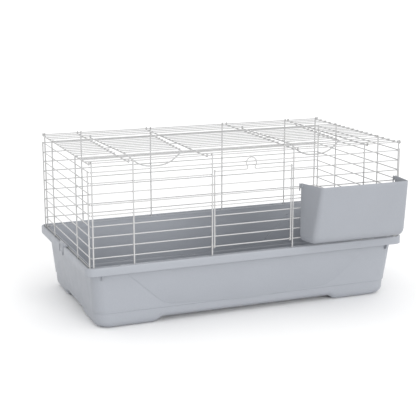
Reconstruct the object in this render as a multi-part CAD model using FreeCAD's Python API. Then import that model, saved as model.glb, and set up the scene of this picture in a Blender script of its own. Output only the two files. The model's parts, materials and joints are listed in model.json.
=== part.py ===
import FreeCAD, Part
import math
import os

# Indoor rabbit cage: a wire top with a front door and two roof doors, standing in the channelled
# rim of a moulded tray, with a hay rack hung outside the front and a clip at each end.
#
# Frame: +X runs along the length, +Z is up, and the front door faces -Y. Lengths are in
# millimetres. Everything is built about the middle of the tray, and moved at the end so that the
# origin is under the middle of the whole object, rack included.

V = FreeCAD.Vector
tiny = 0.01                      # tolerance for finding edges by their place

# ---- Driving dimensions -------------------------------------------------------------------------

overall_height = 390.0
tray_length = 800.0
tray_width = 450.0
tray_height = 153.0
sheet = 2.5                      # thickness of the moulded plastic

rim_skirt = 19.0                 # depth of the rim's outer face
rim_overhang = 16.0              # from the wall's outer face to the rim's outer face
rim_ledge = 5.5                  # width of the rim's raised outer edge
channel_depth = 6.0              # from the rim's top down to the floor of the wire channel
inner_lip = 4.5                  # height of the lip on the inner side of the channel
channel_rib_x = [256.0, 322.0]   # where the ribs that steady the wires run along the channel
channel_rib_width = 3.6
foot_slot_half = 2.6             # half-width of the slot in each rib for an upright's foot
gusset_x = 361.0                 # the small gussets under the rim, near the corners
gusset_width = 3.0
gusset_reach = 11.0              # how far a gusset stands out from the wall under the skirt
gusset_drop = 14.0
overlap = 0.5                    # how far joined plastic shapes reach into each other
beyond = 1.0                     # how far a cutting shape reaches past what it cuts
rim_corner = 20.0                # radius of the rim's corners in plan
wall_corner = 24.0               # the same for the wall just under the rim

crease_z = 38.0                  # height of the step low on the wall
crease_step = 1.5
base_inset = 25.0                # from the rim's outer face to the wall just above the crease
base_corner = 30.0               # the same for the wall just above the crease
base_taper = 2.0                 # how much the wall narrows between the crease and the underside
base_round = 18.0                # radius between wall and underside
foot_height = 10.0
foot_inner_x = 235.0             # the feet fill the corners beyond these two distances
foot_inner_y = 84.0
foot_ramp = 22.0

upright_r = 1.6
rail_r = 1.25
weld = 0.12                      # how far crossing wires sink into each other where welded
running_gap = 0.3                # clearance of a door's wire eyes on their hinge wire
wire_stub = 3.0                  # how far a wire runs on past the last one it is welded to
hook_end = 1.5                   # how far a curled end runs on past its last bend
foot_gap_z = 0.3                 # between the uprights' feet and the floor of the channel
corner_gap = 0.6                 # between the ends of rails that meet at a corner
roof_stub = 2.0                  # how far the roof's wires run on past the end ones

rail_pitch = 24.0
rail_count = 10                  # the tenth rail lies down in the tray's channel
rail_datum = 1.0                 # from the top of the cage down to where the rails are counted from
front_wire_y = 214.0             # plane of the front and back rails
end_wire_x = 386.0               # plane of the end rails
front_upright_x = [101.5, 288.0, 381.5]
end_upright_y = [109.0, 209.5]

cross_x = [113.0, 297.0]         # wires that run from front to back under the roof
roof_strip_y = [138.0, 164.0, 190.0, 214.0]
roof_main_y = [11.5, 35.0, 58.5, 82.0, 105.0]

door_half_width = 96.0
door_top_rise = 7.5              # from the second rail up to the door's top wire
door_rails = [3, 4, 5, 6, 7, 8]
hinge_rail = 9
loop_x = -7.0
loop_r = 12.5
loop_turn_r = 3.0
loop_corner = 3.0
loop_below_top = 14.5            # from the top of the cage to the axis of the loop's highest point
loop_half_neck = 9.2

roof_door_back_x = [127.0, 284.0]
roof_door_front_x = [139.0, 272.0]
roof_door_hinge_y = roof_strip_y[0]
bow_y = -121.0
bow_drop = 30.0
bow_flat = 68.0                  # length of the bow's lowest run before rounding
bow_bend = 66.0
bow_corner = 5.0                 # bend radius between a side wire and the bow

rack_left_x = 120.0
rack_right_x = 375.0
rack_top_z = 305.0
rack_bottom_z = 167.0
rack_depth = 70.0
rack_front_lean = 15.0           # how far the front wall leans back by its foot
rack_corner = 12.5
rack_rail = 4                    # the rail that the rack hangs on
rack_wall = 2.2
rack_back_gap = 1.2              # from the face of the uprights to the rack's back edges
rack_foot_round = 12.0           # radius round the rack's floor
hook_thickness = 2.4
hook_gap = 0.6                   # between the hook and the rail it hangs over
hook_leg = 9.0                   # how far the hook reaches down behind the rail
hook_rise = 8.2
hook_root = 6.0                  # how far the hook's arm overlaps the cheek

clip_half_width = 13.0
clip_notch_half = 20.0
clip_notch_depth = 8.0           # from the rim's outer face to the back of the notch
clip_axis_z = 138.0
clip_axis_inset = 8.5            # from the rim's outer face to the clip's axis
clip_pin_r = 3.0
clip_barrel_r = 5.5
clip_arm = 3.0
clip_pin_length = 3.0
clip_pin_gap = 0.1
clip_tab_rise = 9.0              # how far the thumb tab stands above the rim
clip_tab_round = 1.4
clip_nose = 3.5                  # height of the nose that reaches over the wire
clip_nose_gap = 0.6              # from the nose to the end wire, with the clip shut
ear_gap = 0.5
ear_width = 4.0
ear_lip = 3.0                    # plastic round the pin's bore
ear_round = 5.0
ear_root = 5.0                   # how far the ears reach into the tray's wall

# ---- Derived dimensions -------------------------------------------------------------------------

half_length = tray_length / 2
half_width = tray_width / 2
crossing = upright_r + rail_r - weld             # between the axes of two welded wires
eye_r = upright_r + rail_r + running_gap         # from a hinge wire's axis to the eye's own
roof_z = overall_height - upright_r - eye_r      # axis of the roof's lengthwise wires
cross_z = roof_z - crossing
upright_y = front_wire_y + crossing
end_upright_x = end_wire_x + crossing
channel_z = tray_height - channel_depth
wire_foot_z = channel_z + foot_gap_z
rack_back_y = -(upright_y + upright_r + rack_back_gap)
rack_front_y = rack_back_y - rack_depth
middle_y = (rack_front_y + half_width) / 2
long_rail_half = end_wire_x - rail_r - corner_gap


def rail_z(k):
    return overall_height - rail_datum - k * rail_pitch


# ---- Helpers ------------------------------------------------------------------------------------

def rod(start, end, radius):
    """A straight round wire between two points."""
    along = end - start
    return Part.makeCylinder(radius, along.Length, start, along)


def bent_wire(points, radius, bends):
    """A round wire along straight runs, joined by tangent arcs of the given bend radii."""
    edges = []
    here = points[0]
    for i in range(1, len(points) - 1):
        corner = points[i]
        back = (points[i - 1] - corner).normalize()
        on = (points[i + 1] - corner).normalize()
        half = back.getAngle(on) / 2
        reach = bends[i - 1] / math.tan(half)
        first = corner + back * reach
        last = corner + on * reach
        bisector = (back + on).normalize()
        middle = corner + bisector * (bends[i - 1] / math.sin(half) - bends[i - 1])
        if here.distanceToPoint(first) > tiny:
            edges.append(Part.LineSegment(here, first).toShape())
        edges.append(Part.Arc(first, middle, last).toShape())
        here = last
    if here.distanceToPoint(points[-1]) > tiny:
        edges.append(Part.LineSegment(here, points[-1]).toShape())
    return sweep(edges, radius)


def sweep(edges, radius):
    """A round wire along a chain of tangent edges."""
    path = Part.Wire(edges)
    first = path.OrderedEdges[0]
    start = first.valueAt(first.FirstParameter)
    heading = first.tangentAt(first.FirstParameter)
    profile = Part.Wire([Part.Circle(start, heading, radius).toShape()])
    solid = path.makePipeShell([profile], True, False)
    if solid.Volume < 0:
        solid.reverse()
    return solid


def rounded_rectangle(half_x, half_y, corner, z):
    """A closed outline of four straight sides and four arcs, about the tray's middle."""
    diagonal = corner * (1 - math.sqrt(0.5))
    edges = []
    for quarter in range(4):
        turn = FreeCAD.Rotation(V(0, 0, 1), 90 * quarter)
        long_way, short_way = (half_x, half_y) if quarter % 2 == 0 else (half_y, half_x)
        first = V(long_way, short_way - corner, z)
        middle = V(long_way - diagonal, short_way - diagonal, z)
        last = V(long_way - corner, short_way, z)
        following = V(-(long_way - corner), short_way, z)
        edges.append(Part.Arc(turn.multVec(first), turn.multVec(middle), turn.multVec(last)).toShape())
        edges.append(Part.LineSegment(turn.multVec(last), turn.multVec(following)).toShape())
    return Part.Wire(edges)


def tapered_block(low, high):
    """A solid between two rounded rectangles, each given as (half_x, half_y, corner, z)."""
    return Part.makeLoft([rounded_rectangle(*low), rounded_rectangle(*high)], True, True)


def upright_block(half_x, half_y, corner, low_z, high_z):
    face = Part.Face(rounded_rectangle(half_x, half_y, corner, low_z))
    return face.extrude(V(0, 0, high_z - low_z))


def mirror_x(shape):
    return shape.mirror(V(0, 0, 0), V(1, 0, 0))


def mirror_y(shape):
    return shape.mirror(V(0, 0, 0), V(0, 1, 0))


def both_sides(values):
    """The given distances on both sides of the middle, from the lowest to the highest."""
    return sorted([-v for v in values] + list(values))


def save(node, solids):
    """Write one sub-part, moved so that the origin is under the middle of the whole object."""
    shape = solids[0] if len(solids) == 1 else Part.makeCompound(solids)
    shape = shape.copy()
    shape.translate(V(0, -middle_y, 0))
    shape.exportStep("parts/" + node + ".step")


# ---- Tray ---------------------------------------------------------------------------------------

def bottom_edges(block, low_z):
    return [e for e in block.Edges if abs(e.BoundBox.ZMax - low_z) < tiny]


def tray_wall(inset, floor_z, underside_round):
    """The tray's tapered body, shrunk on every side by inset, down to floor_z."""
    top_x = half_length - rim_overhang - inset
    top_y = half_width - rim_overhang - inset
    low_x = half_length - base_inset - inset
    low_y = half_width - base_inset - inset
    corner = base_corner - inset
    upper = tapered_block((low_x, low_y, corner, crease_z),
                          (top_x, top_y, wall_corner - inset, channel_z))
    step_x = low_x - crease_step
    step_y = low_y - crease_step
    under_x = step_x - base_taper
    under_y = step_y - base_taper
    lower = tapered_block((under_x, under_y, corner, floor_z), (step_x, step_y, corner, crease_z))
    lower = lower.makeFillet(underside_round, bottom_edges(lower, floor_z))
    return upper.fuse(lower)


def foot_gap(low_z, high_z):
    """The space under the tray between its feet: a cross whose arms have sloping sides."""
    far = tray_length
    bars = []
    for across, turned in ((foot_inner_x, False), (foot_inner_y, True)):
        ramp = foot_ramp if not turned else foot_ramp / 2
        outline = [V(-across, -far, low_z), V(across, -far, low_z),
                   V(across - ramp, -far, high_z), V(-across + ramp, -far, high_z)]
        bar = Part.Face(Part.makePolygon(outline + outline[:1])).extrude(V(0, 2 * far, 0))
        if turned:
            bar.rotate(V(0, 0, 0), V(0, 0, 1), 90)
        bars.append(bar)
    return bars[0].fuse(bars[1])


def channel_rib(side_x, side_y):
    """A rib along the outer side of the wire channel, with a slot for one upright's foot."""
    start_x, end_x = channel_rib_x
    inner_y = half_width - rim_ledge - channel_rib_width
    rib = Part.makeBox(end_x - start_x, channel_rib_width + overlap, channel_depth + overlap,
                       V(start_x, inner_y, channel_z - overlap))
    slot = Part.makeBox(2 * foot_slot_half, channel_rib_width + beyond, channel_depth + beyond,
                        V(front_upright_x[1] - foot_slot_half, inner_y - beyond, channel_z))
    rib = rib.cut(slot)
    rib = rib if side_x > 0 else mirror_x(rib)
    return rib if side_y > 0 else mirror_y(rib)


def gusset(side_x, side_y):
    """A thin triangular gusset between the wall and the underside of the rim."""
    wall_y = half_width - rim_overhang - sheet + overlap
    skirt_y = half_width - sheet + overlap
    skirt_low = tray_height - rim_skirt
    top_z = channel_z - sheet + overlap
    outline = [V(0, wall_y, top_z), V(0, skirt_y, top_z), V(0, skirt_y, skirt_low + overlap),
               V(0, wall_y + gusset_reach, skirt_low), V(0, wall_y, skirt_low - gusset_drop)]
    plate = Part.Face(Part.makePolygon(outline + outline[:1])).extrude(V(gusset_width, 0, 0))
    plate.translate(V(side_x * gusset_x - gusset_width / 2, 0, 0))
    return plate if side_y > 0 else mirror_y(plate)


def clip_ears(side):
    """The two ears under the rim that carry a clip's pins. side is -1 or 1."""
    axis_x = half_length - clip_axis_inset
    wall_x = half_length - rim_overhang - ear_root
    outer_x = axis_x + clip_pin_r + ear_lip
    low_z = clip_axis_z - clip_pin_r - ear_lip
    high_z = channel_z - overlap
    ears = []
    for end in (-1, 1):
        inner_y = end * (clip_half_width + ear_gap)
        low_y = min(inner_y, inner_y + end * ear_width)
        plate = Part.makeBox(outer_x - wall_x, ear_width, high_z - low_z, V(wall_x, low_y, low_z))
        foot_edge = [e for e in plate.Edges
                     if abs(e.BoundBox.XMin - outer_x) < tiny and abs(e.BoundBox.ZMax - low_z) < tiny]
        ears.append(plate.makeFillet(ear_round, foot_edge))
    pair = ears[0].fuse(ears[1])
    bore_half = clip_half_width + ear_gap + ear_width + beyond
    bore = Part.makeCylinder(clip_pin_r + clip_pin_gap, 2 * bore_half,
                             V(axis_x, -bore_half, clip_axis_z), V(0, 1, 0))
    pair = pair.cut(bore)
    return pair if side > 0 else mirror_x(pair)


def clip_notch(side):
    """What is taken out of the rim to make room for a clip and its ears."""
    notch = Part.makeBox(clip_notch_depth + beyond, 2 * clip_notch_half, tray_height,
                         V(half_length - clip_notch_depth, -clip_notch_half,
                           tray_height - rim_skirt - beyond))
    return notch if side > 0 else mirror_x(notch)


def foot_pockets():
    """The hollows inside the four feet."""
    clear_x = foot_inner_x + sheet
    clear_y = foot_inner_y + sheet
    pockets = tray_wall(sheet, sheet, base_round - sheet)
    pockets = pockets.cut(Part.makeBox(2 * tray_length, 2 * tray_width, tray_height,
                                       V(-tray_length, -tray_width, foot_height + sheet + beyond)))
    pockets = pockets.cut(Part.makeBox(2 * clear_x, 2 * tray_width, tray_height,
                                       V(-clear_x, -tray_width, -beyond)))
    return pockets.cut(Part.makeBox(2 * tray_length, 2 * clear_y, tray_height,
                                    V(-tray_length, -clear_y, -beyond)))


def make_rim():
    """The rim: a raised outer ledge, the wire channel and its inner lip, and the skirt."""
    web_low = channel_z - sheet
    skirt_low = tray_height - rim_skirt
    rim = upright_block(half_length, half_width, rim_corner, web_low, tray_height)
    rim = rim.cut(upright_block(half_length - rim_ledge, half_width - rim_ledge,
                                rim_corner - rim_ledge, channel_z, tray_height + beyond))
    skirt = upright_block(half_length, half_width, rim_corner, skirt_low, web_low)
    skirt = skirt.cut(upright_block(half_length - sheet, half_width - sheet, rim_corner - sheet,
                                    skirt_low - beyond, web_low))
    lip = upright_block(half_length - rim_overhang, half_width - rim_overhang, wall_corner,
                        channel_z, channel_z + inner_lip)
    return rim.fuse(skirt).fuse(lip)


def make_tray():
    body = tray_wall(0.0, 0.0, base_round)
    body = body.cut(foot_gap(-beyond, foot_height))
    body = body.fuse(make_rim())
    for side_x in (-1, 1):
        for side_y in (-1, 1):
            body = body.fuse(gusset(side_x, side_y))

    mouth_inset = rim_overhang + sheet
    body = body.cut(tray_wall(sheet, foot_height + sheet, base_round - sheet))
    body = body.cut(upright_block(half_length - mouth_inset, half_width - mouth_inset,
                                  wall_corner - sheet, channel_z - overlap, tray_height + beyond))
    body = body.cut(foot_pockets())

    for side_x in (-1, 1):
        body = body.cut(clip_notch(side_x))
        body = body.fuse(clip_ears(side_x))
        for side_y in (-1, 1):
            body = body.fuse(channel_rib(side_x, side_y))
    return body.removeSplitter()


# ---- Wire top -----------------------------------------------------------------------------------

def long_rail(y, k, start_x, end_x):
    return rod(V(start_x, y, rail_z(k)), V(end_x, y, rail_z(k)), rail_r)


def hooked_upright(x, side):
    """A front or back upright whose top curls over the roof's edge wire. side is -1 or 1."""
    outer = side * upright_y
    inner = side * (front_wire_y - crossing)
    top = roof_z + crossing
    points = [V(x, outer, wire_foot_z), V(x, outer, top), V(x, inner, top), V(x, inner, roof_z - hook_end)]
    return bent_wire(points, upright_r, [crossing, crossing])


def end_upright(y, side):
    """A middle upright of an end panel, curled over the roof's end wire."""
    grip = 2 * upright_r - weld
    outer = side * (end_wire_x + grip)
    inner = side * (end_wire_x - grip)
    top = cross_z + grip
    points = [V(outer, y, wire_foot_z), V(outer, y, top), V(inner, y, top), V(inner, y, cross_z)]
    return bent_wire(points, upright_r, [grip, grip])


def end_corner_upright(y, side):
    x = side * end_upright_x
    return rod(V(x, y, wire_foot_z), V(x, y, rail_z(1) + wire_stub), upright_r)


def end_rails(side):
    x = side * end_wire_x
    reach = front_wire_y - rail_r - corner_gap
    return [rod(V(x, -reach, rail_z(k)), V(x, reach, rail_z(k)), rail_r)
            for k in range(1, rail_count + 1)]


def end_uprights(side):
    middle = [end_upright(y, side) for y in both_sides(end_upright_y[:1])]
    corners = [end_corner_upright(y, side) for y in both_sides(end_upright_y[1:])]
    return middle + corners


def roof_wires(start_x, end_x, rows):
    return [rod(V(start_x, y, roof_z), V(end_x, y, roof_z), rail_r) for y in rows]


def cross_wire(x):
    """A roof wire from front to back, its ends curled up over the roof's edge wires."""
    outer = front_wire_y + crossing
    inner = front_wire_y - crossing
    top = roof_z + crossing
    points = [V(x, -inner, top), V(x, -outer, top), V(x, -outer, cross_z),
              V(x, outer, cross_z), V(x, outer, top), V(x, inner, top)]
    return bent_wire(points, upright_r, [crossing] * 4)


# ---- Front door ---------------------------------------------------------------------------------

def door_stile(x):
    """A side wire of the front door, its foot curled round the hinge rail as an eye."""
    front = -(front_wire_y + eye_r)
    back = -(front_wire_y - eye_r)
    axis_z = rail_z(hinge_rail)
    points = [V(x, front, rail_z(2) + door_top_rise + wire_stub), V(x, front, axis_z - eye_r),
              V(x, back, axis_z - eye_r), V(x, back, axis_z + hook_end)]
    return bent_wire(points, upright_r, [eye_r, eye_r])


def door_latch_wire():
    """The door's top wire, raised in its middle into a round loop that snaps over a rail."""
    y = -(front_wire_y + eye_r + crossing)
    low = rail_z(2) + door_top_rise
    turn = math.acos((loop_half_neck + loop_turn_r) / (loop_r + loop_turn_r))
    top = overall_height - loop_below_top
    centre_z = top - loop_r
    neck_z = centre_z - (loop_r + loop_turn_r) * math.sin(turn)
    corner = loop_corner

    def at(x, z):
        return V(loop_x + x, y, z)

    half_turn = turn / 2
    aside = loop_half_neck + loop_turn_r
    left = [
        Part.LineSegment(V(-door_half_width - wire_stub, y, low), at(-loop_half_neck - corner, low)),
        Part.Arc(at(-loop_half_neck - corner, low),
                 at(-loop_half_neck - corner * (1 - math.sqrt(0.5)), low + corner * (1 - math.sqrt(0.5))),
                 at(-loop_half_neck, low + corner)),
        Part.LineSegment(at(-loop_half_neck, low + corner), at(-loop_half_neck, neck_z)),
        Part.Arc(at(-loop_half_neck, neck_z),
                 at(-aside + loop_turn_r * math.cos(half_turn), neck_z + loop_turn_r * math.sin(half_turn)),
                 at(-loop_r * math.cos(turn), centre_z - loop_r * math.sin(turn))),
    ]
    ring = Part.Arc(at(-loop_r * math.cos(turn), centre_z - loop_r * math.sin(turn)),
                    at(0, top), at(loop_r * math.cos(turn), centre_z - loop_r * math.sin(turn)))
    right = [
        Part.Arc(at(loop_r * math.cos(turn), centre_z - loop_r * math.sin(turn)),
                 at(aside - loop_turn_r * math.cos(half_turn), neck_z + loop_turn_r * math.sin(half_turn)),
                 at(loop_half_neck, neck_z)),
        Part.LineSegment(at(loop_half_neck, neck_z), at(loop_half_neck, low + corner)),
        Part.Arc(at(loop_half_neck, low + corner),
                 at(loop_half_neck + corner * (1 - math.sqrt(0.5)), low + corner * (1 - math.sqrt(0.5))),
                 at(loop_half_neck + corner, low)),
        Part.LineSegment(at(loop_half_neck + corner, low), V(door_half_width + wire_stub, y, low)),
    ]
    return sweep([c.toShape() for c in left + [ring] + right], rail_r)


# ---- Roof doors ---------------------------------------------------------------------------------

roof_door_side_z = roof_z - eye_r
roof_door_wire_z = roof_door_side_z + crossing


def roof_door_side_x(y, edge):
    """Where a roof door's side wire runs at depth y. edge 0 is its inner side, 1 its outer."""
    share = (roof_door_hinge_y - y) / (roof_door_hinge_y - bow_y)
    return roof_door_back_x[edge] + share * (roof_door_front_x[edge] - roof_door_back_x[edge])


def roof_door_frame(side):
    """Both side wires and the bow between them, bent from one wire with an eye at each end."""
    z = roof_door_side_z
    high = roof_z + eye_r
    behind = roof_door_hinge_y + eye_r
    middle_x = sum(roof_door_front_x) / 2
    eyes = []
    for edge in (0, 1):
        x = roof_door_side_x(behind, edge)
        eyes.append([V(x, roof_door_hinge_y - hook_end, high), V(x, behind, high), V(x, behind, z)])
    bow = [V(roof_door_front_x[0], bow_y, z), V(middle_x - bow_flat / 2, bow_y, z - bow_drop),
           V(middle_x + bow_flat / 2, bow_y, z - bow_drop), V(roof_door_front_x[1], bow_y, z)]
    points = eyes[0] + bow + eyes[1][::-1]
    points = [V(side * p.x, p.y, p.z) for p in points]
    bends = [eye_r, eye_r, bow_corner, bow_bend, bow_bend, bow_corner, eye_r, eye_r]
    return bent_wire(points, upright_r, bends)


def roof_door_wires(side):
    wires = []
    for y in both_sides(roof_main_y):
        inner = roof_door_side_x(y, 0) - upright_r
        outer = roof_door_side_x(y, 1) + upright_r
        wires.append(rod(V(side * inner, y, roof_door_wire_z), V(side * outer, y, roof_door_wire_z),
                         rail_r))
    return wires


# ---- Hay rack -----------------------------------------------------------------------------------

def rack_block(inset, open_by):
    """The rack's rounded pocket, shrunk by inset and carried open_by past its back and top."""
    back_y = rack_back_y + open_by
    top_z = rack_top_z + open_by
    lean = rack_front_lean / (rack_top_z - rack_bottom_z)
    front_top = rack_front_y + inset - open_by * lean
    front_low = rack_front_y + inset + rack_front_lean
    low_z = rack_bottom_z + inset
    outline = [V(0, back_y, top_z), V(0, front_top, top_z), V(0, front_low, low_z), V(0, back_y, low_z)]
    face = Part.Face(Part.makePolygon(outline + outline[:1]))
    width = rack_right_x - rack_left_x - 2 * inset
    block = face.extrude(V(width, 0, 0))
    block.translate(V(rack_left_x + inset, 0, 0))
    front_corners = [e for e in block.Edges
                     if e.BoundBox.XLength < tiny and e.BoundBox.YMax < front_low + tiny]
    block = block.makeFillet(rack_corner - inset, front_corners)
    foot = [e for e in block.Edges
            if e.BoundBox.ZMax < low_z + tiny and e.BoundBox.YMin < back_y - tiny]
    return block.makeFillet(rack_foot_round - inset, foot)


def rack_hook(cheek_x):
    """A hook in line with a cheek: an arm back over a rail, and a leg down behind the rail."""
    rail_y = -front_wire_y
    rail_top = rail_z(rack_rail) + rail_r
    arm_front = rack_back_y - hook_root
    arm_low = rail_top + hook_gap
    arm_high = arm_low + hook_rise
    leg_front = rail_y + rail_r + hook_gap
    leg_back = leg_front + hook_thickness
    leg_low = rail_top - hook_leg
    outline = [V(0, arm_front, arm_low), V(0, arm_front, arm_high), V(0, leg_back, arm_high),
               V(0, leg_back, leg_low), V(0, leg_front, leg_low), V(0, leg_front, arm_low)]
    hook = Part.Face(Part.makePolygon(outline + outline[:1])).extrude(V(rack_wall, 0, 0))
    hook.translate(V(cheek_x, 0, 0))
    return hook


def make_rack():
    shell = rack_block(0.0, 0.0).cut(rack_block(rack_wall, rack_corner))
    hooks = rack_hook(rack_left_x).fuse(rack_hook(rack_right_x - rack_wall))
    return shell.fuse(hooks).removeSplitter()


# ---- End clips ----------------------------------------------------------------------------------

def make_clip(side):
    """A swinging clip: barrel and pins at its foot, an arm up past the rim, and a nose inwards."""
    axis_x = half_length - clip_axis_inset
    full = 2 * clip_half_width
    barrel = Part.makeCylinder(clip_barrel_r, full, V(axis_x, -clip_half_width, clip_axis_z), V(0, 1, 0))
    pin_half = clip_half_width + ear_gap + clip_pin_length
    pins = Part.makeCylinder(clip_pin_r, 2 * pin_half, V(axis_x, -pin_half, clip_axis_z), V(0, 1, 0))
    arm_x = half_length - clip_arm
    nose_tip = end_wire_x + rail_r + clip_nose_gap
    nose_low = rail_z(rail_count) + rail_r + clip_nose_gap
    nose_high = nose_low + clip_nose
    tab_z = tray_height + clip_tab_rise
    knee_z = clip_axis_z + clip_barrel_r
    outline = [V(axis_x, 0, clip_axis_z), V(half_length, 0, clip_axis_z), V(half_length, 0, tab_z),
               V(arm_x, 0, tab_z), V(arm_x, 0, nose_high + clip_arm), V(arm_x - clip_arm, 0, nose_high),
               V(nose_tip, 0, nose_high), V(nose_tip, 0, nose_low), V(arm_x, 0, nose_low),
               V(arm_x, 0, knee_z), V(axis_x, 0, knee_z - overlap)]
    plate = Part.Face(Part.makePolygon(outline + outline[:1])).extrude(V(0, full, 0))
    plate.translate(V(0, -clip_half_width, 0))
    tab_edges = [e for e in plate.Edges if e.BoundBox.ZMin > tab_z - tiny and e.BoundBox.XLength < tiny]
    plate = plate.makeFillet(clip_tab_round, tab_edges)
    clip = plate.fuse(barrel).fuse(pins).removeSplitter()
    return clip if side > 0 else mirror_x(clip)


# ---- Nodes --------------------------------------------------------------------------------------

os.makedirs("parts", exist_ok=True)

save("base_tray", [make_tray()])

jamb = front_upright_x[0]
side_rails = range(2, hinge_rail)
for side, name in ((-1, "left"), (1, "right")):
    ends = sorted([side * (jamb - upright_r), side * long_rail_half])
    save("front_rails_" + name, [long_rail(-front_wire_y, k, *ends) for k in side_rails])
    save("front_uprights_" + name, [hooked_upright(side * x, -1) for x in front_upright_x])
    save(name + "_end_rails", end_rails(side))
    save(name + "_end_uprights", end_uprights(side))
    bay = sorted([side * (cross_x[1] - 2 * upright_r), side * (end_wire_x + roof_stub)])
    save("roof_wires_" + name, roof_wires(bay[0], bay[1], both_sides(roof_main_y)))
    save("roof_cross_wires_" + name, [cross_wire(side * x) for x in (cross_x[1], end_wire_x)])
    save("roof_door_frame_" + name, [roof_door_frame(side)])
    save("roof_door_wires_" + name, roof_door_wires(side))
    save("clip_" + name, [make_clip(side)])

save("front_lintel_rail", [long_rail(-front_wire_y, 1, -long_rail_half, long_rail_half)])
save("front_hinge_rail", [long_rail(-front_wire_y, hinge_rail, -long_rail_half, long_rail_half)])
save("front_sill_rail", [long_rail(-front_wire_y, rail_count, -long_rail_half, long_rail_half)])

save("back_rails", [long_rail(front_wire_y, k, -long_rail_half, long_rail_half)
                    for k in range(1, rail_count + 1)])
save("back_uprights", [hooked_upright(x, 1) for x in both_sides(front_upright_x)])

roof_end = end_wire_x + roof_stub
save("roof_wires_front", roof_wires(-roof_end, roof_end, [-y for y in roof_strip_y]))
save("roof_wires_back", roof_wires(-roof_end, roof_end, roof_strip_y))
middle_end = cross_x[0] + 2 * upright_r
save("roof_wires_middle", roof_wires(-middle_end, middle_end, both_sides(roof_main_y)))
save("roof_cross_wires_middle", [cross_wire(x) for x in both_sides(cross_x[:1])])

door_wire_y = -(front_wire_y + eye_r - crossing)
door_reach = door_half_width + upright_r
save("front_door_stiles", [door_stile(x) for x in (-door_half_width, door_half_width)])
save("front_door_rails", [long_rail(door_wire_y, k, -door_reach, door_reach) for k in door_rails])
save("front_door_latch_wire", [door_latch_wire()])

save("hay_rack", [make_rack()])
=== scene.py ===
import json
import math

import bmesh
import bpy
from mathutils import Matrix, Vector


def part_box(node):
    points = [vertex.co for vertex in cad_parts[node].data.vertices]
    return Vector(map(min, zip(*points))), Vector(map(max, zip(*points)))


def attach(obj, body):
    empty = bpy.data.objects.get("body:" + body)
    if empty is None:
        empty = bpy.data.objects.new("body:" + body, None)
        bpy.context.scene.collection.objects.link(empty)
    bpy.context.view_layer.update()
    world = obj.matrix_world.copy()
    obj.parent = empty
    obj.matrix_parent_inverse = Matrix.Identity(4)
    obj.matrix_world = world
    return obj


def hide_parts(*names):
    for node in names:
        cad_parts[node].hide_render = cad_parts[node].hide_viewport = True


# An indoor rabbit cage: the looks of its moulded plastic and coated wire, built around the packed
# frame. Lengths are in metres in the frame's own axes: +X along the cage, +Z up, door facing -Y.

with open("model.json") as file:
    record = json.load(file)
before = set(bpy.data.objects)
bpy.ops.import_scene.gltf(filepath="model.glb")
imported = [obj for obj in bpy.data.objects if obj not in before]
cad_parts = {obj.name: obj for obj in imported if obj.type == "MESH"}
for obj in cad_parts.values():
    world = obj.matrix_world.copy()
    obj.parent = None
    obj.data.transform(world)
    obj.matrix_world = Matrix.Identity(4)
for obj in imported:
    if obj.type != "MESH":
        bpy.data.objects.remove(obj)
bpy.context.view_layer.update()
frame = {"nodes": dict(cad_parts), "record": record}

MM = 0.001
EMBED = 1 * MM                   # how far an added piece reaches into the wall it stands on


# ---- Materials ----------------------------------------------------------------------------------

class Shader:
    """A node-based material around one Principled shader."""

    def __init__(self, name, color, roughness, ior=1.49):
        self.material = bpy.data.materials.new(name)
        self.material.use_nodes = True
        self.nodes = self.material.node_tree.nodes
        self.links = self.material.node_tree.links
        self.shader = self.nodes["Principled BSDF"]
        self.shader.inputs["Base Color"].default_value = (*color, 1.0)
        self.shader.inputs["Roughness"].default_value = roughness
        self.shader.inputs["IOR"].default_value = ior
        self.place = self.nodes.new("ShaderNodeTexCoord").outputs["Object"]

    def noise(self, scale, detail=2.0, roughness=0.5, distortion=0.0):
        """The value of a noise texture fixed to the object, scale being its cells per metre."""
        texture = self.nodes.new("ShaderNodeTexNoise")
        texture.inputs["Scale"].default_value = scale
        texture.inputs["Detail"].default_value = detail
        texture.inputs["Roughness"].default_value = roughness
        texture.inputs["Distortion"].default_value = distortion
        self.links.new(self.place, texture.inputs["Vector"])
        return texture.outputs["Fac"]

    def spread(self, value, low, high, start=0.3, end=0.7):
        """value mapped from start..end to low..high."""
        node = self.nodes.new("ShaderNodeMapRange")
        node.inputs["From Min"].default_value = start
        node.inputs["From Max"].default_value = end
        node.inputs["To Min"].default_value = low
        node.inputs["To Max"].default_value = high
        self.links.new(value, node.inputs["Value"])
        return node.outputs["Result"]

    def shade(self, value, dark, light, start=0.3, end=0.7):
        """A colour between dark and light, by value."""
        ramp = self.nodes.new("ShaderNodeValToRGB")
        ramp.color_ramp.elements[0].position = start
        ramp.color_ramp.elements[0].color = (*dark, 1.0)
        ramp.color_ramp.elements[1].position = end
        ramp.color_ramp.elements[1].color = (*light, 1.0)
        self.links.new(value, ramp.inputs["Fac"])
        return ramp.outputs["Color"]

    def blend(self, share, first, second):
        """first changing to second as share goes from 0 to 1."""
        mix = self.nodes.new("ShaderNodeMix")
        mix.data_type = "RGBA"
        self.links.new(share, mix.inputs["Factor"])
        self.links.new(first, mix.inputs["A"])
        self.links.new(second, mix.inputs["B"])
        return mix.outputs["Result"]

    def color(self, value):
        self.links.new(value, self.shader.inputs["Base Color"])

    def roughness(self, value):
        self.links.new(value, self.shader.inputs["Roughness"])

    def bump(self, *layers):
        """Stacks bump layers, each given as (height, distance in metres, strength)."""
        below = None
        for height, distance, strength in layers:
            node = self.nodes.new("ShaderNodeBump")
            node.inputs["Distance"].default_value = distance
            node.inputs["Strength"].default_value = strength
            self.links.new(height, node.inputs["Height"])
            if below is not None:
                self.links.new(below, node.inputs["Normal"])
            below = node.outputs["Normal"]
        self.links.new(below, self.shader.inputs["Normal"])


def tinted(color, share):
    """color made lighter or darker by a share of itself."""
    return tuple(channel * (1 + share) for channel in color)


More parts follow.
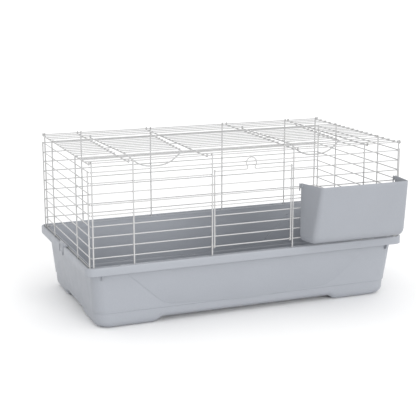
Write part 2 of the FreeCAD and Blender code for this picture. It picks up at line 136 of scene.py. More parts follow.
def moulded_plastic(name, color, roughness):
    """Grey injection-moulded polypropylene: fine texture, faint flow marks and uneven gloss.

    The scales of the noises are in cells per metre."""
    plastic = Shader(name, color, roughness)
    flow = plastic.noise(7.0, detail=3.0, distortion=0.6)
    fleck = plastic.noise(420.0, detail=2.0)
    cloudy = plastic.shade(flow, tinted(color, -0.025), tinted(color, 0.025))
    flecked = plastic.shade(fleck, tinted(color, -0.05), tinted(color, 0.035), 0.35, 0.65)
    half = plastic.spread(plastic.noise(31.0), 0.25, 0.5)
    plastic.color(plastic.blend(half, cloudy, flecked))
    uneven = plastic.noise(46.0, detail=4.0)
    plastic.roughness(plastic.spread(uneven, roughness - 0.05, roughness + 0.06))
    grain = plastic.noise(1900.0, detail=2.0, roughness=0.6)
    ripple = plastic.noise(38.0, detail=1.0)
    plastic.bump((ripple, 0.25 * MM, 0.12), (grain, 0.05 * MM, 0.35))
    return plastic.material


def powder_coat(name, color, roughness):
    """White powder coat over steel wire: orange peel, a soft gloss, faintly yellowed in places."""
    coat = Shader(name, color, roughness, ior=1.5)
    cloudy = coat.noise(55.0, detail=3.0)
    warm = (color[0] * 0.985, color[1] * 0.98, color[2] * 0.965)
    coat.color(coat.shade(cloudy, warm, color, 0.36, 0.56))
    coat.roughness(coat.spread(coat.noise(160.0), roughness - 0.06, roughness + 0.08))
    peel = coat.noise(850.0, detail=2.0)
    coat.bump((peel, 0.08 * MM, 0.4))
    coat.shader.inputs["Coat Weight"].default_value = 0.15
    coat.shader.inputs["Coat Roughness"].default_value = 0.12
    return coat.material


PLASTIC_GREY = (0.299, 0.314, 0.344)
RACK_GREY = (0.276, 0.290, 0.318)
WIRE_WHITE = (0.45, 0.45, 0.452)

materials = {
    "tray_plastic": moulded_plastic("tray_plastic", PLASTIC_GREY, 0.42),
    "rack_plastic": moulded_plastic("rack_plastic", RACK_GREY, 0.40),
    "clip_plastic": moulded_plastic("clip_plastic", PLASTIC_GREY, 0.38),
    "wire_coating": powder_coat("wire_coating", WIRE_WHITE, 0.36),
}

slot_of_node = {part["node"]: part["material_slot"] for part in frame["record"]["subparts"]}
for node, cad_object in frame["nodes"].items():
    for material_slot in cad_object.material_slots:
        material_slot.link = "OBJECT"
        material_slot.material = materials[slot_of_node[node]]


# ---- Mesh helpers -------------------------------------------------------------------------------

def smooth_step(value, start, end):
    """0 before start and 1 after end, with a smooth change between them."""
    share = min(1.0, max(0.0, (value - start) / (end - start)))
    return share * share * (3 - 2 * share)


def piece_from(name, mesh_builder, slot, body, smooth_angle=35.0):
    """Makes a shown piece from a bmesh, gives it its material and lets it ride on its body."""
    mesh = bpy.data.meshes.new(name)
    mesh_builder.to_mesh(mesh)
    mesh_builder.free()
    mesh.shade_smooth()
    piece = bpy.data.objects.new(name, mesh)
    bpy.context.scene.collection.objects.link(piece)
    piece.data.materials.append(materials[slot])
    mesh.set_sharp_from_angle(angle=math.radians(smooth_angle))
    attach(piece, body)
    return piece


FILLET_SHARE = 0.49              # of a stretch, the most that one fillet may take up
STRAIGHT = math.radians(89)      # half an angle from which a corner counts as straight


def rounded_outline(points, steps=5):
    """Points along a polyline whose corners are rounded.

    Each given point is (inset, height, fillet, corner): its fillet radius rounds the outline
    there, and corner, the radius in plan, is carried along and interpolated."""
    path = [points[0][:2] + (points[0][3],)]
    for i in range(1, len(points) - 1):
        here = Vector(points[i][:2])
        fillet = points[i][2]
        corner = points[i][3]
        back = Vector(points[i - 1][:2]) - here
        on = Vector(points[i + 1][:2]) - here
        half = back.angle(on) / 2
        if fillet <= 0 or half > STRAIGHT:
            path.append((here.x, here.y, corner))
            continue
        reach = min(fillet / math.tan(half), FILLET_SHARE * back.length, FILLET_SHARE * on.length)
        radius = reach * math.tan(half)
        centre = here + (back.normalized() + on.normalized()).normalized() * (radius / math.sin(half))
        first = here + back.normalized() * reach - centre
        last = here + on.normalized() * reach - centre
        turn = first.angle_signed(last)
        for step in range(steps + 1):
            angle = -turn * step / steps
            spoke = Vector((first.x * math.cos(angle) - first.y * math.sin(angle),
                            first.x * math.sin(angle) + first.y * math.cos(angle)))
            path.append((centre.x + spoke.x, centre.y + spoke.y, corner))
    path.append(points[-1][:2] + (points[-1][3],))
    return path


def divided(path, longest):
    """The same path with more points, so that no stretch of it is longer than longest."""
    result = [path[0]]
    for start, end in zip(path, path[1:]):
        parts = max(1, math.ceil(math.hypot(end[0] - start[0], end[1] - start[1]) / longest))
        for step in range(1, parts + 1):
            share = step / parts
            result.append(tuple(a + (b - a) * share for a, b in zip(start, end)))
    return result


def plan_ring(half_x, half_y, corner, counts):
    """Points round a rounded rectangle, with the same number of points whatever its size.

    counts are the points along X, along Y and round one corner."""
    along_x, along_y, round_corner = counts
    corner = min(corner, half_x, half_y)
    quarters = ((1, 1), (-1, 1), (-1, -1), (1, -1))
    centres = [Vector((x * (half_x - corner), y * (half_y - corner))) for x, y in quarters]
    points = []
    for quarter, centre in enumerate(centres):
        for step in range(round_corner):
            angle = math.radians(90 * (quarter + step / round_corner))
            points.append(centre + Vector((math.cos(angle), math.sin(angle))) * corner)
        turn = math.radians(90 * (quarter + 1))
        spoke = Vector((math.cos(turn), math.sin(turn))) * corner
        start = centre + spoke
        end = centres[(quarter + 1) % 4] + spoke
        straight = along_x if quarter % 2 == 0 else along_y
        for step in range(straight):
            points.append(start.lerp(end, step / straight))
    return points


def skin(builder, rings):
    """Faces between neighbouring rings of vertices."""
    for lower, upper in zip(rings, rings[1:]):
        count = len(lower)
        for i in range(count):
            j = (i + 1) % count
            builder.faces.new((lower[i], lower[j], upper[j], upper[i]))


def prism(builder, outline, low, high, axis, radius=0.0, segments=2):
    """A closed prism, its outline given in the two axes after axis, its edges rounded by radius."""
    first, second = [(1, 2), (2, 0), (0, 1)][axis]

    def corner(point, level):
        place = [0.0, 0.0, 0.0]
        place[axis] = level
        place[first], place[second] = point
        return builder.verts.new(place)

    lower = [corner(point, low) for point in outline]
    upper = [corner(point, high) for point in outline]
    count = len(outline)
    faces = [builder.faces.new(lower[::-1]), builder.faces.new(upper)]
    for i in range(count):
        j = (i + 1) % count
        faces.append(builder.faces.new((lower[i], lower[j], upper[j], upper[i])))
    bmesh.ops.recalc_face_normals(builder, faces=faces)
    if radius > 0:
        edges = list({edge for face in faces for edge in face.edges})
        rounded = bmesh.ops.bevel(builder, geom=edges, offset=radius, segments=segments,
                                  affect="EDGES", profile=0.5, clamp_overlap=True)
        return rounded["verts"]
    return lower + upper


def box(builder, low, high, radius=0.0):
    """A closed box between two corners, its edges rounded by radius."""
    outline = [(low[0], low[1]), (high[0], low[1]), (high[0], high[1]), (low[0], high[1])]
    return prism(builder, outline, low[2], high[2], 2, radius)


def disc_outline(first, second, radius, count=24):
    """Points round a circle, from its centre and radius."""
    turns = [2 * math.pi * i / count for i in range(count)]
    return [(first + radius * math.cos(turn), second + radius * math.sin(turn)) for turn in turns]


def loose_object(builder, name):
    """An object with the builder's mesh, which is used up."""
    mesh = bpy.data.meshes.new(name)
    builder.to_mesh(mesh)
    builder.free()
    made = bpy.data.objects.new(name, mesh)
    bpy.context.scene.collection.objects.link(made)
    return made


def worked(builder, *modifiers):
    """The builder's mesh after some modifiers, each given as (type, settings)."""
    made = loose_object(builder, "work")
    for kind, settings in modifiers:
        modifier = made.modifiers.new(kind.lower(), kind)
        for setting, value in settings.items():
            setattr(modifier, setting, value)
    graph = bpy.context.evaluated_depsgraph_get()
    result = bmesh.new()
    result.from_mesh(bpy.data.meshes.new_from_object(made.evaluated_get(graph)))
    bpy.data.objects.remove(made)
    return result


def cut(builder, cutter_builder):
    """The builder's mesh with the cutter's solids taken out of it."""
    cutter = loose_object(cutter_builder, "cutter")
    result = worked(builder, ("BOOLEAN", {"object": cutter, "operation": "DIFFERENCE",
                                          "solver": "EXACT"}))
    bpy.data.objects.remove(cutter)
    return result


def join(builder, other):
    """Adds the other builder's mesh to the builder."""
    mesh = bpy.data.meshes.new("joined")
    other.to_mesh(mesh)
    other.free()
    builder.from_mesh(mesh)
    bpy.data.meshes.remove(mesh)


# ---- Tray ---------------------------------------------------------------------------------------

tray_low, tray_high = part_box("base_tray")
tray_middle = (tray_low + tray_high) / 2
tray_half_x = (tray_high.x - tray_low.x) / 2
tray_half_y = (tray_high.y - tray_low.y) / 2
tray_top = tray_high.z

SHEET = 2.5 * MM
RIM_SKIRT = 19 * MM
RIM_OVERHANG = 16 * MM
RIM_LEDGE = 5.5 * MM
RIM_ROUND = 2.2 * MM
SKIRT_ROUND = 0.9 * MM
SKIRT_ROOT_ROUND = 2 * MM
WEB_ROOT_ROUND = 2.5 * MM
CHANNEL_DEPTH = 6 * MM
CHANNEL_ROUND = 1.2 * MM
CHANNEL_ROOT_ROUND = 3 * MM
INNER_LIP = 4.5 * MM
LIP_ROUND = 1.1 * MM
RIM_CORNER = 20 * MM             # corners in plan, here and below
WALL_CORNER = 24 * MM
CREASE_HEIGHT = 38 * MM
CREASE_STEP = 1.5 * MM
CREASE_DROP = 1.2 * MM
CREASE_ROUND = 1.0 * MM
CREASE_INNER_ROUND = 1.2 * MM
CREASE_INSET = 25 * MM
CREASE_CORNER = 30 * MM
BASE_INSET = 28.5 * MM
BASE_ROUND = 18 * MM
FOOT_HEIGHT = 10 * MM
FOOT_INNER_X = 235 * MM
FOOT_INNER_Y = 84 * MM
FOOT_RAMP = 22 * MM
FOOT_FADE = 6 * MM               # below the crease, where the feet's lift ends
LONGEST_EDGE = 7 * MM
TRAY_COUNTS = (120, 64, 12)      # points along X, along Y and round a corner
WELD_DISTANCE = 0.01 * MM
SLIVER_LENGTH = 0.005 * MM

channel_floor = tray_top - CHANNEL_DEPTH
web_low = channel_floor - SHEET
skirt_low = tray_top - RIM_SKIRT

CLIP_NOTCH_HALF = 20 * MM
CLIP_NOTCH_DEPTH = 8 * MM
CLIP_HALF_WIDTH = 13 * MM
CLIP_AXIS_HEIGHT = 138 * MM
CLIP_AXIS_INSET = 8.5 * MM       # from the rim's outer face
CLIP_PIN_RADIUS = 3 * MM
CLIP_PIN_SOFT = 0.4 * MM
CLIP_BARREL_RADIUS = 5.5 * MM
CLIP_ARM = 3 * MM
CLIP_ARM_SOFT = 0.5 * MM         # the rounding of the arm's and barrel's edges
CLIP_TAB_ROUND = 1.4 * MM
CLIP_NOSE_ROUND = 1.2 * MM
CLIP_THROAT_ROUND = 1.5 * MM
CLIP_KNEE_ROUND = 1 * MM
CLIP_TAB_ROOT_ROUND = 2.5 * MM
CLIP_SLOT_Y = 5 * MM
CLIP_SLOT_HALF = 1.2 * MM
CLIP_SLOT_FROM_KNEE = 1 * MM
CLIP_SLOT_FROM_TAB = 5 * MM
CLIP_SLOT_INTO_NOSE = 1 * MM
CLIP_NOSE_LOW = 150.85 * MM
CLIP_NOSE = 3.5 * MM
CLIP_NOSE_TIP = 12.15 * MM       # from the rim's outer face
CLIP_PAD_HALF = 8 * MM
CLIP_PAD_DROP = 8 * MM           # below the axis
CLIP_PAD_RISE = 4 * MM           # and above it
CLIP_PAD_ROOM = 3 * MM           # from the axis, so that the pad clears the wall when swung in
CLIP_PAD_PROUD = 1 * MM
CLIP_PAD_ROUND = 2 * MM
EAR_GAP = 0.5 * MM
EAR_WIDTH = 4 * MM
EAR_LIP = 3 * MM
EAR_ROUND = 5 * MM
EAR_ROOT = 5 * MM
EAR_TOP_ROUND = 1 * MM
EAR_SOFT = 0.4 * MM
EAR_INTO_WEB = 0.5 * MM
PIN_CLEARANCE = 0.1 * MM
BORE_HALF = 30 * MM              # longer than both ears and the clip between them
CHANNEL_RIB_X = (256 * MM, 322 * MM)
CHANNEL_RIB_WIDTH = 3.6 * MM
CHANNEL_RIB_ROOT = 1.5 * MM
CHANNEL_RIB_BELOW_TOP = 0.25 * MM
CHANNEL_RIB_ROUND = 0.7 * MM
FOOT_SLOT_X = 288 * MM
FOOT_SLOT_HALF = 2.6 * MM
GUSSET_X = 361 * MM
GUSSET_WIDTH = 3 * MM
GUSSET_REACH = 11 * MM
GUSSET_DROP = 14 * MM
GUSSET_ROOT = 2 * MM
GUSSET_ROUND = 0.3 * MM


def foot_lift(x, y):
    """How far the tray's underside is raised at a place, by the gaps between its four feet."""
    beside_x = 1 - smooth_step(abs(x), FOOT_INNER_X - FOOT_RAMP, FOOT_INNER_X)
    beside_y = 1 - smooth_step(abs(y), FOOT_INNER_Y - FOOT_RAMP / 2, FOOT_INNER_Y)
    return FOOT_HEIGHT * max(beside_x, beside_y)


PANEL_RAISE = 1.2 * MM
PANEL_HALF_FOOT = 210 * MM       # half-length of the panel's lower side
PANEL_HALF_TOP = 312 * MM        # and at the rim
PANEL_END_HEIGHT = 45 * MM
PANEL_MIDDLE_HEIGHT = 36 * MM
PANEL_CORNER = 60 * MM
PANEL_UNDER_RIM = 3 * MM         # its top ends this far up inside the skirt
PANEL_ROOT = 1.2 * MM
PANEL_ROUND = 0.3 * MM
CUTTER_ROOM = 2 * MM             # how far a cutter stands out from the face it cuts


def panel_outline():
    """The boat-shaped panel on the tray's long walls, as points (height, x)."""
    top = skirt_low + PANEL_UNDER_RIM
    keel = 2 * PANEL_HALF_FOOT
    points = [(-PANEL_HALF_TOP, top, 0, 0), (-PANEL_HALF_FOOT, PANEL_END_HEIGHT, PANEL_CORNER, 0),
              (0, PANEL_MIDDLE_HEIGHT, keel, 0), (PANEL_HALF_FOOT, PANEL_END_HEIGHT, PANEL_CORNER, 0),
              (PANEL_HALF_TOP, top, 0, 0)]
    return [(z, x) for x, z, _ in rounded_outline(points, steps=10)]


def wall_inset(height):
    """How far the tray's outer wall stands back from the rim's outer face, above the crease."""
    share = (height - CREASE_HEIGHT) / (web_low - CREASE_HEIGHT)
    return CREASE_INSET + share * (RIM_OVERHANG - CREASE_INSET)


def panel(builder, side, low, high, radius=0.0):
    """A plate along a long wall, low and high being its faces' distances from the outer surface."""
    for vertex in prism(builder, panel_outline(), low, high, 1, radius):
        outside = tray_half_y - wall_inset(vertex.co.z) + vertex.co.y
        vertex.co.y = tray_middle.y + side * outside


def tray_profile():
    """The tray's section from the middle of its floor, over the rim, to the middle underneath."""
    inner_wall = CREASE_INSET + SHEET
    mouth = RIM_OVERHANG + SHEET
    lip_top = channel_floor + INNER_LIP
    inner_base = BASE_INSET + SHEET
    inside_round = BASE_ROUND - SHEET
    inner_corner = CREASE_CORNER - SHEET
    mouth_corner = WALL_CORNER - SHEET
    return [
        (tray_half_y, SHEET, 0, 0),
        (inner_base, SHEET, inside_round, inner_corner),
        (inner_wall + CREASE_STEP, CREASE_HEIGHT, CREASE_INNER_ROUND, inner_corner),
        (inner_wall, CREASE_HEIGHT + CREASE_STEP, CREASE_INNER_ROUND, inner_corner),
        (mouth, channel_floor, CHANNEL_ROOT_ROUND, mouth_corner),
        (mouth, lip_top, LIP_ROUND, mouth_corner),
        (RIM_OVERHANG, lip_top, LIP_ROUND, WALL_CORNER),
        (RIM_OVERHANG, channel_floor, CHANNEL_ROUND, WALL_CORNER),
        (RIM_LEDGE, channel_floor, CHANNEL_ROUND, RIM_CORNER - RIM_LEDGE),
        (RIM_LEDGE, tray_top, CHANNEL_ROUND, RIM_CORNER - RIM_LEDGE),
        (0, tray_top, RIM_ROUND, RIM_CORNER),
        (0, skirt_low, SKIRT_ROUND, RIM_CORNER),
        (SHEET, skirt_low, SKIRT_ROUND, RIM_CORNER - SHEET),
        (SHEET, web_low, SKIRT_ROOT_ROUND, RIM_CORNER - SHEET),
        (RIM_OVERHANG, web_low, WEB_ROOT_ROUND, WALL_CORNER),
        (CREASE_INSET, CREASE_HEIGHT, CREASE_ROUND, CREASE_CORNER),
        (CREASE_INSET + CREASE_STEP, CREASE_HEIGHT - CREASE_DROP, CREASE_ROUND, CREASE_CORNER),
        (BASE_INSET, 0, BASE_ROUND, CREASE_CORNER),
        (tray_half_y, 0, 0, 0),
    ]


def tray_shell():
    """The tray's moulded shell as a closed mesh, raised between its feet."""
    builder = bmesh.new()
    path = divided(rounded_outline(tray_profile()), LONGEST_EDGE)
    fading = CREASE_HEIGHT - FOOT_FADE
    rings = []
    for inset, height, corner in path:
        ring = []
        half_y = max(0.0, tray_half_y - inset)
        for point in plan_ring(tray_half_x - inset, half_y, corner, TRAY_COUNTS):
            lift = foot_lift(point.x, point.y) * (1 - smooth_step(height, SHEET, fading))
            ring.append(builder.verts.new((point.x, point.y + tray_middle.y, height + lift)))
        rings.append(ring)
    skin(builder, rings)
    bmesh.ops.remove_doubles(builder, verts=builder.verts, dist=WELD_DISTANCE)
    bmesh.ops.dissolve_degenerate(builder, edges=builder.edges, dist=SLIVER_LENGTH)
    bmesh.ops.recalc_face_normals(builder, faces=builder.faces)
    return builder


def clip_ear(builder, side, end):
    """An ear under the rim at one end of the tray, with the bore for a clip's pin."""
    axis = tray_half_x - CLIP_AXIS_INSET
    wall = tray_half_x - RIM_OVERHANG - EAR_ROOT
    outer = axis + CLIP_PIN_RADIUS + EAR_LIP
    low = CLIP_AXIS_HEIGHT - CLIP_PIN_RADIUS - EAR_LIP
    high = channel_floor - EAR_INTO_WEB
    points = [(wall, low, 0, 0), (outer, low, EAR_ROUND, 0), (outer, high, EAR_TOP_ROUND, 0),
              (wall, high, 0, 0)]
    outline = [(z, side * x) for x, z, _ in rounded_outline(points)]
    inner = end * (CLIP_HALF_WIDTH + EAR_GAP)
    ear = bmesh.new()
    near, far = sorted((inner, inner + end * EAR_WIDTH))
    prism(ear, outline, near + tray_middle.y, far + tray_middle.y, 1, EAR_SOFT)
    bore = bmesh.new()
    prism(bore, disc_outline(CLIP_AXIS_HEIGHT, side * axis, CLIP_PIN_RADIUS + PIN_CLEARANCE),
          tray_middle.y - BORE_HALF, tray_middle.y + BORE_HALF, 1)
    join(builder, cut(ear, bore))


def channel_rib(builder, side_x, side_y):
    """A rib along the outer side of the wire channel, parted by the slot for an upright's foot."""
    outer = tray_half_y - RIM_LEDGE
    slot = (FOOT_SLOT_X - FOOT_SLOT_HALF, FOOT_SLOT_X + FOOT_SLOT_HALF)
    near_y, far_y = sorted((tray_middle.y + side_y * (outer + CHANNEL_RIB_ROOT),
                            tray_middle.y + side_y * (outer - CHANNEL_RIB_WIDTH)))
    high = tray_top - CHANNEL_RIB_BELOW_TOP
    for start, end in ((CHANNEL_RIB_X[0], slot[0]), (slot[1], CHANNEL_RIB_X[1])):
        near_x, far_x = sorted((side_x * start, side_x * end))
        box(builder, (near_x, near_y, channel_floor - EMBED), (far_x, far_y, high), CHANNEL_RIB_ROUND)


def gusset(builder, side_x, side_y):
    """A thin gusset between the wall and the underside of the rim."""
    wall = tray_half_y - RIM_OVERHANG - GUSSET_ROOT
    skirt = tray_half_y - EMBED
    outline = [(wall, channel_floor - EMBED), (skirt, channel_floor - EMBED),
               (skirt, skirt_low + EMBED), (wall + GUSSET_REACH, skirt_low),
               (wall + GUSSET_REACH / 2, skirt_low - GUSSET_DROP), (wall, skirt_low - GUSSET_DROP)]
    outline = [(tray_middle.y + side_y * y, z) for y, z in outline]
    middle = side_x * GUSSET_X
    prism(builder, outline, middle - GUSSET_WIDTH / 2, middle + GUSSET_WIDTH / 2, 0, GUSSET_ROUND)


def tray_builder():
    """The whole tray: its shell with the clips' notches, the long walls' panels, ears and ribs."""
    cutter = bmesh.new()
    for side in (-1, 1):
        near, far = sorted((side * (tray_half_x - CLIP_NOTCH_DEPTH), side * (tray_half_x + CUTTER_ROOM)))
        box(cutter, (near, tray_middle.y - CLIP_NOTCH_HALF, skirt_low - CUTTER_ROOM),
            (far, tray_middle.y + CLIP_NOTCH_HALF, tray_top + CUTTER_ROOM))
        panel(cutter, side, -SHEET - CUTTER_ROOM, -SHEET + PANEL_RAISE)
    builder = cut(tray_shell(), cutter)
    for side in (-1, 1):
        panel(builder, side, -PANEL_ROOT, PANEL_RAISE, PANEL_ROUND)
        for end in (-1, 1):
            clip_ear(builder, side, end)
            channel_rib(builder, side, end)
            gusset(builder, side, end)
    return builder


tray = piece_from("tray_shell", tray_builder(), "tray_plastic", "tray")
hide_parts("base_tray")


# ---- Hay rack -----------------------------------------------------------------------------------

rack_low, rack_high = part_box("hay_rack")

RACK_WALL = 2.2 * MM
RACK_LEAN = 15 * MM              # how far the front wall leans back by its foot
RACK_DEPTH = 70 * MM
RACK_HEIGHT = 138 * MM
RACK_TOP_CORNER = 9 * MM         # radius between the front and a cheek, at the top
RACK_LOW_CORNER = 17 * MM        # and at the foot
RACK_FOOT_ROUND = 20 * MM        # radius under the front
RACK_CHEEK_ROUND = 0.45          # and its share under the cheeks
RACK_LEFT_TOP_SPLAY = 20 * MM    # how far the left cheek turns in by its front edge, at the top
RACK_LEFT_LOW_SPLAY = 8 * MM     # and at the foot
RACK_RIGHT_TOP_SPLAY = 6 * MM    # and the right cheek
RACK_LEAST_CORNER = 2 * MM
RACK_CORNER_SHARE = 0.6          # of the inset by which the corners tighten round the foot
RACK_CORNER_STEPS = 10
RACK_CHEEK_PARTS = 6
RACK_FRONT_PARTS = 12
RACK_HEIGHT_PARTS = 12
RACK_FOOT_PARTS = 8
RACK_LIP_ROUND = 0.6 * MM
HOOK_THICKNESS = 2.4 * MM
HOOK_RISE = 8.2 * MM
HOOK_LEG = 9 * MM
HOOK_ROOT = 6 * MM
HOOK_GAP = 0.6 * MM
HOOK_ROUND = 0.4 * MM
HOOK_ARM_LOW = 294.85 * MM

rack_front = rack_low.y
rack_back = rack_front + RACK_DEPTH
rack_foot = rack_low.z
rack_top = rack_foot + RACK_HEIGHT


def rack_ring(builder, height, inset):
    """A row of points round the rack's cheeks and front at one height, set in by inset."""
    share = (height - rack_foot) / RACK_HEIGHT
    front = rack_front + RACK_LEAN * (1 - share) + inset
    corner = RACK_LOW_CORNER + share * (RACK_TOP_CORNER - RACK_LOW_CORNER) - inset * RACK_CORNER_SHARE
    corner = max(RACK_LEAST_CORNER, corner)
    left = rack_low.x + inset * RACK_CHEEK_ROUND
    right = rack_high.x - inset * RACK_CHEEK_ROUND
    left_front = left + RACK_LEFT_LOW_SPLAY + share * (RACK_LEFT_TOP_SPLAY - RACK_LEFT_LOW_SPLAY)
    right_front = right - share * RACK_RIGHT_TOP_SPLAY
    points = [(left, rack_back, 0, 0), (left_front, front, corner, 0), (right_front, front, corner, 0),
              (right, rack_back, 0, 0)]
    path = [Vector(place[:2]) for place in rounded_outline(points, steps=RACK_CORNER_STEPS)]
    corner_points = RACK_CORNER_STEPS + 1
    stretch_parts = {0: RACK_CHEEK_PARTS, corner_points: RACK_FRONT_PARTS,
                     2 * corner_points: RACK_CHEEK_PARTS}
    row = []
    for i, (start, end) in enumerate(zip(path, path[1:])):
        parts = stretch_parts.get(i, 1)
        row += [start.lerp(end, step / parts) for step in range(parts)]
    row.append(path[-1])
    return [builder.verts.new((place.x, place.y, height)) for place in row]


def rack_pocket():
    """The rack's thin-walled pocket, open behind and on top, with rounded lips."""
    builder = bmesh.new()
    straight_height = RACK_HEIGHT - RACK_FOOT_ROUND
    rings = []
    for i in range(RACK_HEIGHT_PARTS + 1):
        rings.append(rack_ring(builder, rack_top - straight_height * i / RACK_HEIGHT_PARTS, 0))
    for i in range(1, RACK_FOOT_PARTS + 1):
        turn = math.pi / 2 * i / RACK_FOOT_PARTS
        rings.append(rack_ring(builder, rack_foot + RACK_FOOT_ROUND * (1 - math.sin(turn)),
                               RACK_FOOT_ROUND * (1 - math.cos(turn))))
    for upper, lower in zip(rings, rings[1:]):
        for i in range(len(upper) - 1):
            builder.faces.new((lower[i], lower[i + 1], upper[i + 1], upper[i]))
    builder.faces.new(rings[-1])
    bmesh.ops.recalc_face_normals(builder, faces=builder.faces)
    first = builder.faces[:][0]
    outwards = first.calc_center_median() - (rack_low + rack_high) / 2
    if first.normal.dot(outwards) < 0:
        bmesh.ops.reverse_faces(builder, faces=builder.faces)
    return worked(builder,
                  ("SOLIDIFY", {"thickness": RACK_WALL, "offset": -1.0, "use_even_offset": True}),
                  ("BEVEL", {"width": RACK_LIP_ROUND, "segments": 2, "limit_method": "ANGLE",
                             "angle_limit": math.radians(50)}))


def rack_hook(builder, side):
    """The hook in line with a cheek: an arm back over a rail, and a leg down behind the rail."""
    arm_front = rack_back - HOOK_ROOT
    arm_high = HOOK_ARM_LOW + HOOK_RISE
    leg_back = rack_high.y
    leg_front = leg_back - HOOK_THICKNESS
    leg_low = HOOK_ARM_LOW - HOOK_GAP - HOOK_LEG
    outline = [(arm_front, HOOK_ARM_LOW), (arm_front, arm_high), (leg_back, arm_high), (leg_back, leg_low),
               (leg_front, leg_low), (leg_front, HOOK_ARM_LOW)]
    face = rack_low.x if side < 0 else rack_high.x
    near, far = sorted((face, face - side * RACK_WALL))
    prism(builder, outline, near, far, 0, HOOK_ROUND)


rack_builder = rack_pocket()
for side in (-1, 1):
    rack_hook(rack_builder, side)
rack = piece_from("hay_rack_shell", rack_builder, "rack_plastic", "hay_rack", smooth_angle=30)
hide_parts("hay_rack")


# ---- Clips --------------------------------------------------------------------------------------

def clip(side):
    """A clip: pins, barrel and pad at its foot, a slotted arm, a thumb tab and a nose."""
    low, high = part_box("clip_left" if side < 0 else "clip_right")
    axis = tray_half_x - CLIP_AXIS_INSET
    tab = high.z
    nose_tip = tray_half_x - CLIP_NOSE_TIP
    nose_high = CLIP_NOSE_LOW + CLIP_NOSE
    inside = tray_half_x - CLIP_ARM
    knee = CLIP_AXIS_HEIGHT + CLIP_BARREL_RADIUS
    points = [(axis, CLIP_AXIS_HEIGHT, 0, 0), (tray_half_x, CLIP_AXIS_HEIGHT, 0, 0),
              (tray_half_x, tab, CLIP_TAB_ROUND, 0), (inside, tab, CLIP_TAB_ROUND, 0),
              (inside, nose_high + CLIP_ARM, CLIP_TAB_ROOT_ROUND, 0),
              (inside - CLIP_ARM, nose_high, CLIP_THROAT_ROUND, 0),
              (nose_tip, nose_high, CLIP_NOSE_ROUND, 0), (nose_tip, CLIP_NOSE_LOW, CLIP_NOSE_ROUND, 0),
              (inside, CLIP_NOSE_LOW, CLIP_THROAT_ROUND, 0), (inside, knee, CLIP_KNEE_ROUND, 0),
              (axis, knee - CLIP_ARM_SOFT, 0, 0)]
    outline = [(z, side * x) for x, z, _ in rounded_outline(points, steps=3)]
    builder = bmesh.new()
    middle = tray_middle.y
    prism(builder, outline, middle - CLIP_HALF_WIDTH, middle + CLIP_HALF_WIDTH, 1, CLIP_ARM_SOFT)
    slots = bmesh.new()
    near, far = sorted((side * (inside - CLIP_SLOT_INTO_NOSE), side * (tray_half_x + CUTTER_ROOM)))
    for y in (middle - CLIP_SLOT_Y, middle + CLIP_SLOT_Y):
        box(slots, (near, y - CLIP_SLOT_HALF, knee + CLIP_SLOT_FROM_KNEE),
            (far, y + CLIP_SLOT_HALF, tab - CLIP_SLOT_FROM_TAB))
    builder = cut(builder, slots)
    barrel = disc_outline(CLIP_AXIS_HEIGHT, side * axis, CLIP_BARREL_RADIUS, 32)
    prism(builder, barrel, middle - CLIP_HALF_WIDTH, middle + CLIP_HALF_WIDTH, 1, CLIP_ARM_SOFT)
    near, far = sorted((side * (axis + CLIP_PAD_ROOM), side * (tray_half_x + CLIP_PAD_PROUD)))
    box(builder, (near, middle - CLIP_PAD_HALF, CLIP_AXIS_HEIGHT - CLIP_PAD_DROP),
        (far, middle + CLIP_PAD_HALF, CLIP_AXIS_HEIGHT + CLIP_PAD_RISE), CLIP_PAD_ROUND)
    pin = disc_outline(CLIP_AXIS_HEIGHT, side * axis, CLIP_PIN_RADIUS)
    prism(builder, pin, low.y, high.y, 1, CLIP_PIN_SOFT)
    return builder


for side, name in ((-1, "clip_left"), (1, "clip_right")):
    shell = piece_from(name + "_shell", clip(side), "clip_plastic", name, smooth_angle=30)
    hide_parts(name)


# ---- Camera, light and floor --------------------------------------------------------------------

FLOOR_HALF = 30.0
FLOOR_DROP = 0.05 * MM           # keeps the floor clear of the tray's feet
CAMERA_PLACE = (-0.9682, -2.3267, 0.7968)
CAMERA_YAW = 21.78               # degrees to the right of +Y
CAMERA_PITCH = 12.98             # degrees downwards
LENS = 90.7                      # focal length and sensor width in millimetres
SENSOR = 36.0
HORIZON_STRENGTH = 1.25
ZENITH_STRENGTH = 1.1
KEY_TOWARDS = (-0.2, 1.0, -0.27)
KEY_STRENGTH = 1.25
KEY_SPREAD = 28


def add_sun(name, towards, strength, spread):
    """A distant light, shining along towards, whose apparent size is spread degrees."""
    light = bpy.data.lights.new(name, "SUN")
    light.energy = strength
    light.angle = math.radians(spread)
    lamp = bpy.data.objects.new(name, light)
    lamp.rotation_mode = "QUATERNION"
    lamp.rotation_quaternion = Vector(towards).to_track_quat("-Z", "Y")
    bpy.context.scene.collection.objects.link(lamp)


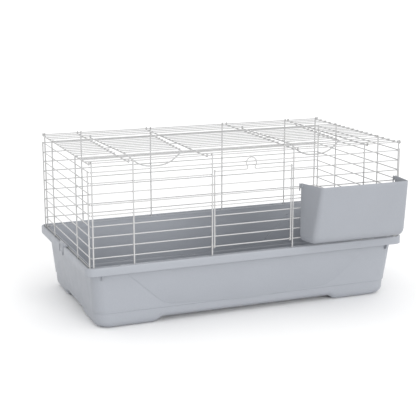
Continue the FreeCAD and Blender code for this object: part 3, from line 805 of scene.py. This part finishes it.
def make_floor():
    """A plain pale floor, wide enough to reach the horizon."""
    builder = bmesh.new()
    bmesh.ops.create_grid(builder, x_segments=1, y_segments=1, size=FLOOR_HALF)
    mesh = bpy.data.meshes.new("floor")
    builder.to_mesh(mesh)
    builder.free()
    floor = bpy.data.objects.new("floor", mesh)
    floor.location.z = -FLOOR_DROP
    bpy.context.scene.collection.objects.link(floor)
    paper = Shader("floor_paper", (0.93, 0.93, 0.93), 0.9)
    paper.color(paper.shade(paper.noise(1.3), (0.925, 0.925, 0.93), (0.935, 0.935, 0.935)))
    mesh.materials.append(paper.material)


def make_world(horizon, zenith):
    """A white studio all round, brighter near the horizon than overhead."""
    world = bpy.data.worlds.new("studio")
    world.use_nodes = True
    nodes = world.node_tree.nodes
    links = world.node_tree.links
    direction = nodes.new("ShaderNodeTexCoord")
    parts = nodes.new("ShaderNodeSeparateXYZ")
    strength = nodes.new("ShaderNodeMapRange")
    strength.inputs["To Min"].default_value = horizon
    strength.inputs["To Max"].default_value = zenith
    links.new(direction.outputs["Generated"], parts.inputs["Vector"])
    links.new(parts.outputs["Z"], strength.inputs["Value"])
    links.new(strength.outputs["Result"], nodes["Background"].inputs["Strength"])
    nodes["Background"].inputs["Color"].default_value = (1.0, 1.0, 1.0, 1.0)
    bpy.context.scene.world = world


def make_camera():
    """The camera, in front of the cage, to its left and above it."""
    camera = bpy.data.objects.new("camera", bpy.data.cameras.new("camera"))
    camera.data.sensor_width = SENSOR
    camera.data.lens = LENS
    camera.location = CAMERA_PLACE
    yaw = math.radians(CAMERA_YAW)
    pitch = math.radians(CAMERA_PITCH)
    level = math.cos(pitch)
    heading = Vector((math.sin(yaw) * level, math.cos(yaw) * level, -math.sin(pitch)))
    camera.rotation_mode = "QUATERNION"
    camera.rotation_quaternion = heading.to_track_quat("-Z", "Y")
    bpy.context.scene.collection.objects.link(camera)
    bpy.context.scene.camera = camera


make_floor()
make_world(HORIZON_STRENGTH, ZENITH_STRENGTH)
make_camera()
add_sun("key", KEY_TOWARDS, KEY_STRENGTH, KEY_SPREAD)
bpy.context.scene.view_settings.view_transform = "Standard"
